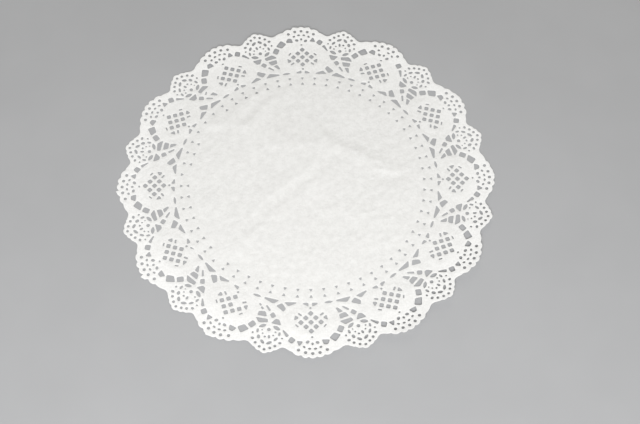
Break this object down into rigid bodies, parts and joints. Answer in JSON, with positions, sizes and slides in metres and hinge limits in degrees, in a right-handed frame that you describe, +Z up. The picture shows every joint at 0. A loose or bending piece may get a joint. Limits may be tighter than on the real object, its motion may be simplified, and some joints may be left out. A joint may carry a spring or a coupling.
{
  "type": "paper doily",
  "caption": "Round paper doily with a plain middle, a pierced lace border of medallions and shells, and a scalloped edge.",
  "frame": {"origin": "middle of the underside, in the plane that the sheet rests on", "axes": "+Z up out of the face that shows; +Y out through the middle of one medallion; +X to the right of it seen from above"},
  "size_m": [0.2904, 0.2904, 0.001],
  "materials": {
    "paper": "matte"
  },
  "bodies": {
    "root": {"doily": "paper"}
  },
  "joints": []
}
